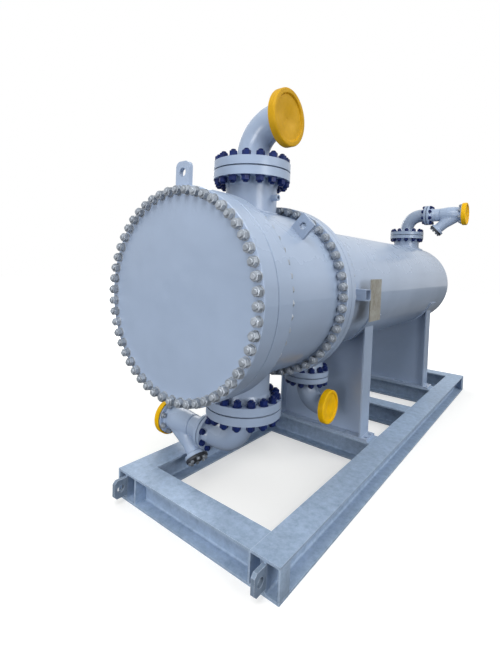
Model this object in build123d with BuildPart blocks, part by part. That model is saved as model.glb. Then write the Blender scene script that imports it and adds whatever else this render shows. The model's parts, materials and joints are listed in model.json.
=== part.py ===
from build123d import *
import os
from math import atan2, cos, degrees, radians, sin, sqrt

# A shell and tube heat exchanger on its skid, in millimetres.
# X runs across the skid, Y along the vessel from the channel cover to the rear head, Z up.
# The origin is on the ground, below the web of the front saddle.

# Vessel
cover_to_saddle = 1860.0
girth_od = 1260.0
bolt_circle_d = 1200.0
channel_od = 1136.0
channel_wall = 80.0
vessel_od = 1020.0
shell_wall = 16.0
cover_thickness = 118.0
front_flange_thickness = 130.0
channel_length = 672.0
rear_flange_thickness = 58.0
tubesheet_thickness = 62.0
girth_gasket = 4.0
girth_gasket_inset = 36.0
edge_chamfer = 4.0
shell_length = 3350.0
head_crown_r = 918.0
head_knuckle_r = 173.0
fit_gap = 0.3

# Nozzles and the spools bolted to them
raised_face = 3.0
gasket_thickness = 3.0
channel_nozzle_station = 653.0
channel_top_reach = 826.0
channel_bottom_reach = 790.0
channel_neck_od = 356.0
channel_neck_wall = 20.0
channel_flange_od = 530.0
channel_flange_thickness = 58.0
shell_neck_wall = 14.0
shell_flange_thickness = 44.0
shell_bottom_station = 1526.0
shell_bottom_reach = 744.0
shell_bottom_neck_od = 273.0
shell_bottom_flange_od = 380.0
shell_top_inset = 218.0
shell_top_reach = 672.0
shell_top_neck_od = 324.0
shell_top_flange_od = 430.0
neck_hub_rise = 14.0
neck_hub_length = 46.0
nozzle_pad_width = 50.0
nozzle_pad_thickness = 14.0
coupling_od = 42.0
coupling_bore = 22.0
coupling_length = 62.0

# Pipe spools, strainers and flange protectors
large_pipe_od = 219.0
small_pipe_od = 168.0
pipe_wall = 9.0
large_flange_od = 336.0
small_flange_od = 258.0
pipe_flange_thickness = 30.0
spool_hub_length = 40.0
channel_top_bend = 226.0
channel_top_run = 44.0
channel_bottom_bend = 205.0
channel_bottom_run = 136.0
shell_bottom_bend = 158.0
shell_bottom_run = 62.0
shell_top_bend = 184.0
shell_top_run = 84.0
strainer_length = 440.0
strainer_belly_od = 196.0
channel_strainer_fork = 276.0
shell_strainer_fork = 330.0
strainer_leg_length = 296.0
strainer_leg_od = 126.0
strainer_leg_flange_od = 172.0
strainer_leg_flange_thickness = 26.0
strainer_cover_thickness = 24.0
strainer_leg_angle = 45.0
strainer_leg_tilt = 12.0
strainer_beam_clearance = 75.0
strainer_fork_past_beam = 110.0
protector_wall = 5.0
protector_gap = 9.0
protector_skirt = 22.0
protector_rim = 30.0
protector_lip = 15.0
protector_recess = 12.0
protector_dish = 6.0

# Saddles
rear_saddle_inset = 548.0
saddle_pad_wrap = 132.0
saddle_pad_thickness = 12.0
saddle_pad_width = 250.0
saddle_web = 16.0
saddle_rib = 14.0
saddle_depth = 180.0
saddle_half_width = 420.0
saddle_base_thickness = 20.0
saddle_base_depth = 188.0
saddle_base_overhang = 58.0
saddle_slot = 30.0
saddle_slot_pitch = 90.0

# Skid
cover_to_skid = 120.0
skid_past_shell = 422.0
beam_height = 200.0
beam_width = 190.0
beam_web = 10.0
beam_flange = 15.0
beam_root = 12.0
stiffener_thickness = 12.0
tie_lug_length = 100.0
tie_lug_height = 128.0
tie_lug_rise = 12.0
tie_lug_thickness = 25.0
tie_lug_corner = 20.0
tie_lug_hole = 52.0
tie_lug_hole_inset = 50.0

# Lifting lugs and nameplate bracket
cover_lug_width = 110.0
cover_lug_height = 140.0
cover_lug_thickness = 28.0
cover_lug_station = 34.0
cover_lug_corner = 34.0
cover_lug_hole = 52.0
cover_lug_hole_rise = 78.0
channel_lug_size = 118.0
channel_lug_thickness = 25.0
channel_lug_angle = 46.0
channel_lug_station = 648.0
channel_lug_hole = 46.0
bracket_station = 1330.0
bracket_height = 84.0
bracket_depth = 96.0
bracket_wall = 6.0
bracket_reach = 606.0
plate_width = 216.0
plate_height = 322.0
plate_thickness = 8.0
plate_drop = 44.0

# Places worked out from the sizes above
flange_edge_x = (
    channel_bottom_bend + channel_bottom_run + gasket_thickness
    + channel_strainer_fork - strainer_fork_past_beam
)
strainer_drop = (
    channel_bottom_reach + gasket_thickness + channel_flange_thickness + spool_hub_length + channel_bottom_bend
)
axis_height = beam_height + strainer_beam_clearance + small_flange_od / 2 + strainer_drop
vessel_r = vessel_od / 2
channel_r = channel_od / 2
girth_r = girth_od / 2
channel_bore_r = channel_r - channel_wall
shell_bore_r = vessel_r - shell_wall
cover_face = -cover_to_saddle
cover_back = cover_face + cover_thickness
front_flange_face = cover_back + girth_gasket
front_flange_back = front_flange_face + front_flange_thickness
rear_flange_face = front_flange_back + channel_length
rear_flange_back = rear_flange_face + rear_flange_thickness
tubesheet_front = rear_flange_back + girth_gasket
tubesheet_back = tubesheet_front + tubesheet_thickness
shell_end = tubesheet_back + shell_length
girth_gasket_r = bolt_circle_d / 2 - girth_gasket_inset
saddle_pad_r = vessel_r + fit_gap + saddle_pad_thickness
web_x = flange_edge_x + beam_width / 2
skid_front = cover_face + cover_to_skid
skid_rear = shell_end + skid_past_shell
skid_length = skid_rear - skid_front
rear_saddle_y = shell_end - rear_saddle_inset
shell_top_station = shell_end - shell_top_inset - cover_face

right = Vector(1, 0, 0)
left = Vector(-1, 0, 0)
front = Vector(0, -1, 0)
up = Vector(0, 0, 1)
down = Vector(0, 0, -1)
vessel_centre = Vector(0, 0, axis_height)
vessel_axis = Axis(vessel_centre, (0, 1, 0))
vessel_section = Plane(origin=vessel_centre, x_dir=(1, 0, 0), z_dir=(0, 0, 1))

os.makedirs("parts", exist_ok=True)


def keep(piece, name):
    """Label a finished piece and write its STEP file."""
    piece.label = name
    export_step(piece, f"parts/{name}.step")


def gathered(pieces):
    """Like pieces that stand apart, held as one piece."""
    with BuildPart() as group:
        for piece in pieces:
            add(piece)
    return group.part


def section_of(origin, outward, across):
    """Plane of a half section: local x across the axis, local y along it."""
    return Plane(origin=origin, x_dir=across, z_dir=across.cross(outward))


def flange_outline(bore_r, flange_r, face_r, thickness, face, hub_r, hub_length, end_r, end):
    """Half section of a weld neck flange, its face at height face and its neck going to height end."""
    step = 1 if face > end else -1
    rim = face - step * raised_face
    back = face - step * thickness
    hub_end = back - step * hub_length
    outline = [
        (bore_r, face),
        (face_r, face),
        (face_r, rim),
        (flange_r, rim),
        (flange_r, back),
        (hub_r, back),
        (end_r, hub_end),
    ]
    if abs(hub_end - end) > fit_gap:
        outline.append((end_r, end))
    return outline + [(bore_r, end)]


def face_radius(neck_od, flange_od):
    """Radius of a raised face, halfway between the neck and the rim of its flange."""
    return (neck_od + flange_od) / 4


def across_vessel(y):
    """Plane across the vessel, centred on its axis, seen from the front."""
    return Plane(origin=(0, y, axis_height), x_dir=(1, 0, 0), z_dir=(0, -1, 0))


def ring(outer_r, inner_r, start, stop):
    """A plain ring about the vessel axis."""
    with BuildPart() as piece:
        with BuildSketch(vessel_section):
            with Locations(((outer_r + inner_r) / 2, (start + stop) / 2)):
                Rectangle(outer_r - inner_r, stop - start)
        revolve(axis=vessel_axis)
    return piece.part


# Channel cover, a thick flat disc with eased edges
with BuildPart() as channel_cover:
    with BuildSketch(Plane.XZ.offset(-cover_face)):
        with Locations((0, axis_height)):
            Circle(girth_r)
    extrude(amount=-cover_thickness)
    chamfer(channel_cover.edges().filter_by(GeomType.CIRCLE), edge_chamfer)
keep(channel_cover.part, "channel_cover")

keep(ring(girth_gasket_r, channel_bore_r, cover_back, front_flange_face), "cover_gasket")
keep(ring(girth_gasket_r, channel_bore_r, rear_flange_back, tubesheet_front), "tubesheet_gasket")

# Channel front flange, a thick ring with eased edges
front_ring = ring(girth_r, channel_bore_r, front_flange_face, front_flange_back)
with BuildPart() as channel_front_flange:
    add(front_ring)
    rims = channel_front_flange.edges().filter_by(GeomType.CIRCLE).sort_by(SortBy.RADIUS)[-2:]
    chamfer(rims, edge_chamfer)
keep(channel_front_flange.part, "channel_front_flange")

# Channel rear flange, bolted to the tubesheet
rear_ring = ring(girth_r, channel_bore_r, rear_flange_face, rear_flange_back)
with BuildPart() as channel_rear_flange:
    add(rear_ring)
    front_edges = channel_rear_flange.edges().filter_by(GeomType.CIRCLE).group_by(Axis.Y)[0]
    chamfer(front_edges.sort_by(SortBy.RADIUS)[-1], edge_chamfer)
keep(channel_rear_flange.part, "channel_rear_flange")

# Channel barrel between the two flanges, open at both nozzles
barrel_ring = ring(channel_r, channel_bore_r, front_flange_back, rear_flange_face)
with BuildPart() as channel_barrel:
    add(barrel_ring)
    with Locations((0, cover_face + channel_nozzle_station, axis_height)):
        Cylinder(channel_neck_od / 2 + fit_gap, 2 * channel_od, mode=Mode.SUBTRACT)
keep(channel_barrel.part, "channel_barrel")

# Tubesheet, drilled plate extended as a flange and welded to the shell
with BuildPart() as tubesheet:
    with BuildSketch(Plane.XZ.offset(-tubesheet_front)):
        with Locations((0, axis_height)):
            Circle(girth_r)
    extrude(amount=-tubesheet_thickness)
    chamfer(tubesheet.edges().filter_by(GeomType.CIRCLE).sort_by(Axis.Y)[-1], edge_chamfer)
keep(tubesheet.part, "tubesheet")

# Shell, open at its two nozzles
with BuildPart() as shell:
    with BuildSketch(vessel_section):
        with Locations(((vessel_r + shell_bore_r) / 2, (tubesheet_back + shell_end) / 2)):
            Rectangle(shell_wall, shell_length)
    revolve(axis=vessel_axis)
    for nozzle_y, side, neck_od in (
        (shell_bottom_station, down, shell_bottom_neck_od),
        (shell_top_station, up, shell_top_neck_od),
    ):
        hole = Plane(origin=(0, cover_face + nozzle_y, axis_height), z_dir=side)
        with BuildSketch(hole):
            Circle(neck_od / 2 + fit_gap)
        extrude(amount=vessel_od, mode=Mode.SUBTRACT)
keep(shell.part, "shell")

# Rear head, a dish of the shell's wall with a crown and a knuckle
knuckle_x = vessel_r - head_knuckle_r
crown_drop = sqrt((head_crown_r - head_knuckle_r) ** 2 - knuckle_x**2)
knuckle_sweep = degrees(atan2(crown_drop, knuckle_x))
crown_top = shell_end + head_crown_r - crown_drop
with BuildPart() as rear_head:
    with BuildSketch(vessel_section):
        with BuildLine():
            for inset in (0.0, shell_wall):
                CenterArc((knuckle_x, shell_end), head_knuckle_r - inset, 0, knuckle_sweep)
                CenterArc((0, shell_end - crown_drop), head_crown_r - inset, knuckle_sweep, 90 - knuckle_sweep)
            Line((vessel_r, shell_end), (shell_bore_r, shell_end))
            Line((0, crown_top), (0, crown_top - shell_wall))
        make_face()
    revolve(axis=vessel_axis)
keep(rear_head.part, "rear_head")


def nozzle(station, outward, neck_od, neck_wall, reach, flange_od, flange_thickness, wall_r, bore_r, coupling):
    """A neck through the vessel wall, ended by a raised face flange at the given reach from the axis."""
    origin = Vector(0, cover_face + station, axis_height)
    neck_r = neck_od / 2
    outline = flange_outline(
        neck_r - neck_wall,
        flange_od / 2,
        face_radius(neck_od, flange_od),
        flange_thickness,
        reach,
        neck_r + neck_hub_rise,
        neck_hub_length,
        neck_r,
        bore_r / 2,
    )
    with BuildPart() as piece:
        with BuildSketch(section_of(origin, outward, right)):
            with BuildLine():
                Polyline(*outline, close=True)
            make_face()
        revolve(axis=Axis(origin, outward))
        with Locations(origin):
            Cylinder(bore_r, 2 * neck_od, rotation=(90, 0, 0), mode=Mode.SUBTRACT)
        if coupling:
            seat = origin + outward * ((wall_r + reach - flange_thickness - neck_hub_length) / 2)
            with BuildSketch(Plane(origin=seat + right * (neck_r - neck_wall / 2), z_dir=right)):
                Circle(coupling_od / 2)
            extrude(amount=coupling_length)
            with BuildSketch(Plane(origin=seat, z_dir=right)):
                Circle(coupling_bore / 2)
            extrude(amount=neck_r + coupling_length, mode=Mode.SUBTRACT)
    return piece.part


for name, outward, reach in (
    ("channel_top_nozzle", up, channel_top_reach),
    ("channel_bottom_nozzle", down, channel_bottom_reach),
):
    keep(
        nozzle(
            channel_nozzle_station,
            outward,
            channel_neck_od,
            channel_neck_wall,
            reach,
            channel_flange_od,
            channel_flange_thickness,
            channel_r,
            channel_bore_r,
            coupling=outward is up,
        ),
        name,
    )

shell_bottom = (down, shell_bottom_station, shell_bottom_reach, shell_bottom_neck_od, shell_bottom_flange_od)
shell_top = (up, shell_top_station, shell_top_reach, shell_top_neck_od, shell_top_flange_od)
for name, (outward, station, reach, neck_od, flange_od) in (
    ("shell_bottom_nozzle", shell_bottom),
    ("shell_top_nozzle", shell_top),
):
    keep(
        nozzle(
            station,
            outward,
            neck_od,
            shell_neck_wall,
            reach,
            flange_od,
            shell_flange_thickness,
            vessel_r,
            shell_bore_r,
            coupling=False,
        ),
        name,
    )


def nozzle_pad(station, outward, neck_od):
    """A reinforcing plate rolled to the shell round a nozzle neck."""
    origin = Vector(0, cover_face + station, axis_height)
    seat_r = vessel_r + fit_gap
    with BuildPart() as piece:
        with BuildSketch(Plane(origin=origin, z_dir=outward)):
            Circle(neck_od / 2 + nozzle_pad_width)
            Circle(neck_od / 2 + fit_gap, mode=Mode.SUBTRACT)
        extrude(amount=vessel_od)
        with Locations(origin):
            Cylinder(seat_r + nozzle_pad_thickness, vessel_od, rotation=(90, 0, 0), mode=Mode.INTERSECT)
            Cylinder(seat_r, vessel_od, rotation=(90, 0, 0), mode=Mode.SUBTRACT)
    return piece.part


bottom_pad = nozzle_pad(shell_bottom_station, down, shell_bottom_neck_od)
top_pad = nozzle_pad(shell_top_station, up, shell_top_neck_od)
keep(gathered([bottom_pad, top_pad]), "shell_nozzle_pads")


def spool(start, outward, turn, neck_od, base_od, base_thickness, pipe_od, bend, run, flange_od):
    """A reducing flange, a short hub, a right angle bend and an end flange, welded into one piece."""
    pipe_r = pipe_od / 2
    bore_r = pipe_r - pipe_wall
    base_top = base_thickness + spool_hub_length
    base = flange_outline(
        bore_r,
        base_od / 2,
        face_radius(neck_od, base_od),
        base_thickness,
        0.0,
        pipe_r + neck_hub_rise,
        spool_hub_length,
        pipe_r,
        base_top,
    )
    bend_start = start + outward * base_top
    bend_end = bend_start + outward * bend + turn * bend
    hub_length = min(spool_hub_length, run - pipe_flange_thickness)
    tip = flange_outline(
        bore_r,
        flange_od / 2,
        face_radius(pipe_od, flange_od),
        pipe_flange_thickness,
        run,
        pipe_r + neck_hub_rise,
        hub_length,
        pipe_r,
        0.0,
    )
    with BuildPart() as piece:
        for place, direction, across, outline in (
            (start, outward, turn, base),
            (bend_end, turn, outward, tip),
        ):
            with BuildSketch(section_of(place, direction, across)):
                with BuildLine():
                    Polyline(*outline, close=True)
                make_face()
            revolve(axis=Axis(place, direction))
        with BuildSketch(Plane(origin=bend_start, x_dir=turn, z_dir=outward)):
            Circle(pipe_r)
            Circle(bore_r, mode=Mode.SUBTRACT)
        revolve(axis=Axis(bend_start + turn * bend, outward.cross(turn)), revolution_arc=90)
    return piece.part, bend_end + turn * run


def spool_start(station, outward, reach):
    """Where the spool's flange face lies, one gasket beyond the nozzle's."""
    return Vector(0, cover_face + station, axis_height) + outward * (reach + gasket_thickness)


top_elbow, top_end = spool(
    spool_start(channel_nozzle_station, up, channel_top_reach),
    up,
    right,
    channel_neck_od,
    channel_flange_od,
    channel_flange_thickness,
    large_pipe_od,
    channel_top_bend,
    channel_top_run,
    large_flange_od,
)
keep(top_elbow, "channel_top_elbow")

bottom_elbow, bottom_end = spool(
    spool_start(channel_nozzle_station, down, channel_bottom_reach),
    down,
    left,
    channel_neck_od,
    channel_flange_od,
    channel_flange_thickness,
    small_pipe_od,
    channel_bottom_bend,
    channel_bottom_run,
    small_flange_od,
)
keep(bottom_elbow, "channel_bottom_elbow")

shell_front_elbow, shell_front_end = spool(
    spool_start(shell_bottom_station, down, shell_bottom_reach),
    down,
    right,
    shell_bottom_neck_od,
    shell_bottom_flange_od,
    shell_flange_thickness,
    small_pipe_od,
    shell_bottom_bend,
    shell_bottom_run,
    small_flange_od,
)
keep(shell_front_elbow, "shell_bottom_elbow")

shell_rear_elbow, shell_rear_end = spool(
    spool_start(shell_top_station, up, shell_top_reach),
    up,
    right,
    shell_top_neck_od,
    shell_top_flange_od,
    shell_flange_thickness,
    small_pipe_od,
    shell_top_bend,
    shell_top_run,
    small_flange_od,
)
keep(shell_rear_elbow, "shell_top_elbow")


def gasket(place, direction, bore_od, flange_od):
    """A flat gasket between two raised faces."""
    with BuildPart() as piece:
        with BuildSketch(Plane(origin=place, z_dir=direction)):
            Circle(face_radius(bore_od, flange_od))
            Circle(bore_od / 2, mode=Mode.SUBTRACT)
        extrude(amount=gasket_thickness)
    return piece.part


pipe_gaskets = [
    gasket(bottom_end, left, small_pipe_od, small_flange_od),
    gasket(shell_rear_end, right, small_pipe_od, small_flange_od),
]
for outward, station, reach, neck_od, flange_od in (
    (up, channel_nozzle_station, channel_top_reach, channel_neck_od, channel_flange_od),
    (down, channel_nozzle_station, channel_bottom_reach, channel_neck_od, channel_flange_od),
    shell_bottom,
    shell_top,
):
    face = Vector(0, cover_face + station, axis_height) + outward * reach
    pipe_gaskets.append(gasket(face, outward, neck_od, flange_od))
keep(gathered(pipe_gaskets), "pipe_gaskets")


def strainer(start, run, fork_at):
    """A cast Y strainer along run, its leg slanting down and back, and the blank cover of the leg."""
    slant = radians(strainer_leg_angle)
    tilt = radians(strainer_leg_tilt)
    hang = down * cos(tilt) + front * sin(tilt)
    leg = hang * sin(slant) - run * cos(slant)
    fork = start + run * fork_at
    pipe_r = small_pipe_od / 2
    bore_r = pipe_r - pipe_wall
    flange_r = small_flange_od / 2
    face_r = face_radius(small_pipe_od, small_flange_od)
    hub_end = pipe_flange_thickness + spool_hub_length
    belly_r = strainer_belly_od / 2
    leg_r = strainer_leg_od / 2
    leg_bore_r = leg_r - pipe_wall
    leg_flange_r = strainer_leg_flange_od / 2
    belly_start = 2 * hub_end
    belly_end = strainer_length - belly_start
    along = (0, 1)
    side = hang.cross(run)
    with BuildPart() as piece:
        with BuildSketch(section_of(start, run, side)):
            with BuildLine():
                Polyline(
                    (0, 0),
                    (face_r, 0),
                    (face_r, raised_face),
                    (flange_r, raised_face),
                    (flange_r, pipe_flange_thickness),
                    (pipe_r + neck_hub_rise, pipe_flange_thickness),
                    (pipe_r, hub_end),
                )
                Spline((pipe_r, hub_end), (belly_r, belly_start), tangents=(along, along))
                Line((belly_r, belly_start), (belly_r, belly_end))
                Spline((belly_r, belly_end), (pipe_r, strainer_length - hub_end), tangents=(along, along))
                Polyline(
                    (pipe_r, strainer_length - hub_end),
                    (pipe_r + neck_hub_rise, strainer_length - pipe_flange_thickness),
                    (flange_r, strainer_length - pipe_flange_thickness),
                    (flange_r, strainer_length - raised_face),
                    (face_r, strainer_length - raised_face),
                    (face_r, strainer_length),
                    (0, strainer_length),
                    (0, 0),
                )
            make_face()
        revolve(axis=Axis(start, run))
        with BuildSketch(section_of(fork, leg, side)):
            with BuildLine():
                Polyline(
                    (0, 0),
                    (leg_r, 0),
                    (leg_r, strainer_leg_length - strainer_leg_flange_thickness),
                    (leg_flange_r, strainer_leg_length - strainer_leg_flange_thickness),
                    (leg_flange_r, strainer_leg_length),
                    (0, strainer_leg_length),
                    close=True,
                )
            make_face()
        revolve(axis=Axis(fork, leg))
        for place, direction, radius, length in (
            (start, run, bore_r, strainer_length),
            (fork, leg, leg_bore_r, strainer_leg_length),
        ):
            with BuildSketch(Plane(origin=place, z_dir=direction)):
                Circle(radius)
            extrude(amount=length, mode=Mode.SUBTRACT)
    leg_end = fork + leg * strainer_leg_length
    with BuildPart() as blank:
        with BuildSketch(Plane(origin=leg_end, z_dir=leg)):
            Circle(leg_flange_r)
        extrude(amount=strainer_cover_thickness)
        chamfer(blank.edges().filter_by(GeomType.CIRCLE), raised_face)
    return piece.part, blank.part, start + run * strainer_length


channel_strainer, channel_strainer_cover, channel_strainer_end = strainer(
    bottom_end + left * gasket_thickness, left, channel_strainer_fork
)
keep(channel_strainer, "channel_strainer")
shell_strainer, shell_strainer_cover, shell_strainer_end = strainer(
    shell_rear_end + right * gasket_thickness, right, shell_strainer_fork
)
keep(shell_strainer, "shell_strainer")
keep(gathered([channel_strainer_cover, shell_strainer_cover]), "strainer_covers")


def protector(place, run, flange_od):
    """A moulded plastic cap over an open flange, with a raised rim round a dished face."""
    inner_r = flange_od / 2 + protector_gap
    outer_r = inner_r + protector_wall
    lip_r = outer_r - protector_lip
    outline = [
        (0, 0),
        (inner_r, 0),
        (inner_r, -protector_skirt),
        (outer_r, -protector_skirt),
        (outer_r, protector_rim - protector_wall),
        (outer_r - protector_wall, protector_rim),
        (lip_r, protector_rim),
        (lip_r - protector_wall, protector_rim - protector_recess),
        (0, protector_rim - protector_recess - protector_dish),
    ]
    with BuildPart() as piece:
        with BuildSketch(section_of(place, run, up)):
            with BuildLine():
                Polyline(*outline, close=True)
            make_face()
        revolve(axis=Axis(place, run))
    return piece.part


keep(protector(top_end, right, large_flange_od), "channel_top_protector")
keep(protector(channel_strainer_end, left, small_flange_od), "channel_bottom_protector")
keep(protector(shell_front_end, right, small_flange_od), "shell_bottom_protector")
keep(protector(shell_strainer_end, right, small_flange_od), "shell_top_protector")

# Cover lifting lug, a plate standing on the rim of the cover
with BuildPart() as cover_lug:
    lug_face = cover_face + cover_lug_station - cover_lug_thickness / 2
    lug_foot = axis_height + sqrt(girth_r**2 - (cover_lug_width / 2) ** 2)
    lug_top = axis_height + girth_r + cover_lug_height
    with BuildSketch(Plane.XZ.offset(-lug_face)):
        with Locations((0, (lug_foot + lug_top) / 2)):
            outline = Rectangle(cover_lug_width, lug_top - lug_foot)
        fillet(outline.vertices().group_by(Axis.Y)[-1], cover_lug_corner)
        with Locations((0, axis_height + girth_r + cover_lug_hole_rise)):
            Circle(cover_lug_hole / 2, mode=Mode.SUBTRACT)
        with Locations((0, axis_height)):
            Circle(girth_r + fit_gap, mode=Mode.SUBTRACT)
    extrude(amount=-cover_lug_thickness)
keep(cover_lug.part, "cover_lifting_lug")


def channel_lug(angle):
    """A square lifting plate standing radially on the channel, across its axis."""
    outward = Vector(cos(radians(angle)), 0, sin(radians(angle)))
    face = cover_face + channel_lug_station - channel_lug_thickness / 2
    plane = Plane(origin=(0, face, axis_height), x_dir=outward, z_dir=(0, 1, 0))
    foot = sqrt(channel_r**2 - (channel_lug_size / 2) ** 2)
    top = channel_r + channel_lug_size
    with BuildPart() as piece:
        with BuildSketch(plane):
            with Locations(((foot + top) / 2, 0)):
                Rectangle(top - foot, channel_lug_size)
            with Locations((channel_r + channel_lug_size / 2, 0)):
                Circle(channel_lug_hole / 2, mode=Mode.SUBTRACT)
            Circle(channel_r + fit_gap, mode=Mode.SUBTRACT)
        extrude(amount=channel_lug_thickness)
    return piece.part


keep(gathered([channel_lug(channel_lug_angle), channel_lug(180 - channel_lug_angle)]), "channel_lugs")


def saddle_pad(station):
    """The wear plate rolled to the underside of the shell."""
    half = radians(saddle_pad_wrap / 2)
    far = vessel_od
    with BuildPart() as piece:
        with BuildSketch(across_vessel(station - saddle_pad_width / 2)):
            Circle(saddle_pad_r)
            Circle(vessel_r + fit_gap, mode=Mode.SUBTRACT)
            with BuildLine():
                Polyline(
                    (0, 0),
                    (far * sin(half), -far * cos(half)),
                    (0, -2 * far),
                    (-far * sin(half), -far * cos(half)),
                    close=True,
                )
            make_face(mode=Mode.INTERSECT)
        extrude(amount=-saddle_pad_width)
    return piece.part


def saddle(station):
    """Base plate, cross web and two end ribs, welded up and cut to the pad."""
    base_top = beam_height + saddle_base_thickness
    cut_r = saddle_pad_r + fit_gap
    rib_x = saddle_half_width - saddle_rib / 2
    rib_top = axis_height - sqrt(cut_r**2 - saddle_half_width**2)
    base_width = 2 * (saddle_half_width + saddle_base_overhang)
    with BuildPart() as piece:
        with Locations((0, station, beam_height + saddle_base_thickness / 2)):
            Box(base_width, saddle_base_depth, saddle_base_thickness)
        with Locations((0, station, (base_top + rib_top) / 2)):
            Box(2 * saddle_half_width, saddle_web, rib_top - base_top)
        with Locations((rib_x, station, (base_top + rib_top) / 2), (-rib_x, station, (base_top + rib_top) / 2)):
            Box(saddle_rib, saddle_depth, rib_top - base_top)
        with Locations((0, station, axis_height)):
            Cylinder(cut_r, 2 * saddle_depth, rotation=(90, 0, 0), mode=Mode.SUBTRACT)
        with Locations((0, station, beam_height)):
            with GridLocations(base_width - saddle_base_overhang, saddle_slot_pitch, 2, 2):
                Cylinder(saddle_slot / 2, 4 * saddle_base_thickness, mode=Mode.SUBTRACT)
    return piece.part


for name, station in (("front_saddle", 0.0), ("rear_saddle", rear_saddle_y)):
    keep(saddle(station), name)
keep(gathered([saddle_pad(0.0), saddle_pad(rear_saddle_y)]), "saddle_pads")


def beam(plane, length):
    """A wide flange beam of the given length, its section on the plane."""
    panel = (beam_width - beam_web) / 2
    with BuildPart() as piece:
        with BuildSketch(plane):
            Rectangle(beam_width, beam_height)
            with GridLocations(beam_width, 0, 2, 1):
                RectangleRounded(
                    2 * panel,
                    beam_height - 2 * beam_flange,
                    beam_root,
                    mode=Mode.SUBTRACT,
                )
        extrude(amount=length)
    return piece.part


for name, x in (("skid_beam_left", -web_x), ("skid_beam_right", web_x)):
    start = Plane(origin=(x, skid_front, beam_height / 2), x_dir=(1, 0, 0), z_dir=(0, 1, 0))
    keep(beam(start, skid_length), name)


def cross_beam(station):
    """A beam between the long beams, its flanges coped so that its web reaches theirs."""
    tongue_height = beam_height - 2 * beam_flange - 2 * beam_root
    tongue_length = web_x - beam_web / 2 - flange_edge_x
    start = Plane(origin=(-flange_edge_x, station, beam_height / 2), x_dir=(0, 1, 0), z_dir=(1, 0, 0))
    tongue_x = flange_edge_x + tongue_length / 2
    body = beam(start, 2 * flange_edge_x)
    with BuildPart() as piece:
        add(body)
        with Locations((tongue_x, station, beam_height / 2), (-tongue_x, station, beam_height / 2)):
            Box(tongue_length, beam_web, tongue_height)
    return piece.part


front_beam_y = skid_front + beam_width / 2
rear_beam_y = skid_rear - beam_width / 2
for name, station in (
    ("front_end_beam", front_beam_y),
    ("front_saddle_beam", 0.0),
    ("middle_beam", rear_saddle_y / 2),
    ("rear_saddle_beam", rear_saddle_y),
    ("rear_end_beam", rear_beam_y),
):
    keep(cross_beam(station), name)


def end_stiffeners(station, outward):
    """Two plates that close the outer channel of an end beam beside the long beams."""
    depth = (beam_width - beam_web) / 2
    y = station + outward * (beam_web + depth) / 2
    x = flange_edge_x - stiffener_thickness / 2
    with BuildPart() as piece:
        with Locations((x, y, beam_height / 2), (-x, y, beam_height / 2)):
            Box(stiffener_thickness, depth, beam_height - 2 * beam_flange)
        inner = piece.edges().filter_by(Axis.X).group_by(Axis.Y)[-1 if outward < 0 else 0]
        chamfer(inner, beam_root)
    return piece.part


keep(gathered([end_stiffeners(front_beam_y, -1), end_stiffeners(rear_beam_y, 1)]), "end_stiffeners")


def tie_lugs(station, outward):
    """Two tie-down plates in line with the webs of the long beams, standing off their ends."""
    with BuildPart() as piece:
        for x in (-web_x, web_x):
            side = Plane(
                origin=(x - tie_lug_thickness / 2, station, beam_height / 2 + tie_lug_rise),
                x_dir=(0, outward, 0),
                z_dir=(1, 0, 0),
            )
            with BuildSketch(side):
                with Locations((tie_lug_length / 2, 0)):
                    outline = Rectangle(tie_lug_length, tie_lug_height)
                chamfer(outline.vertices().group_by(Axis.X)[-1], tie_lug_corner)
                with Locations((tie_lug_length - tie_lug_hole_inset, 0)):
                    Circle(tie_lug_hole / 2, mode=Mode.SUBTRACT)
            extrude(amount=tie_lug_thickness)
    return piece.part


keep(gathered([tie_lugs(skid_front, -1), tie_lugs(skid_rear, 1)]), "tie_lugs")

# Nameplate bracket, a box section standing on the side of the shell
bracket_y = cover_face + bracket_station
with BuildPart() as bracket:
    with BuildSketch(Plane(origin=(vessel_r / 2, bracket_y, axis_height), x_dir=(0, 1, 0), z_dir=(1, 0, 0))):
        Rectangle(bracket_depth, bracket_height)
        Rectangle(bracket_depth - 2 * bracket_wall, bracket_height - 2 * bracket_wall, mode=Mode.SUBTRACT)
    extrude(amount=bracket_reach - vessel_r / 2)
    with Locations((0, bracket_y, axis_height)):
        Cylinder(vessel_r + fit_gap, 2 * bracket_depth, rotation=(90, 0, 0), mode=Mode.SUBTRACT)
keep(bracket.part, "nameplate_bracket")

# Nameplate backing, welded along the rear wall of the bracket
with BuildPart() as nameplate:
    plate_y = bracket_y + bracket_depth / 2 + plate_width / 2
    with Locations((bracket_reach - plate_thickness / 2, plate_y, axis_height - plate_drop)):
        Box(plate_thickness, plate_width, plate_height)
keep(nameplate.part, "nameplate_backing")
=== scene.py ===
import json
import random
from math import cos, pi, radians, sin, sqrt, tau

import bmesh
import bpy
from bpy.props import FloatProperty, FloatVectorProperty, IntProperty, PointerProperty
from mathutils import Matrix, Vector


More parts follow.
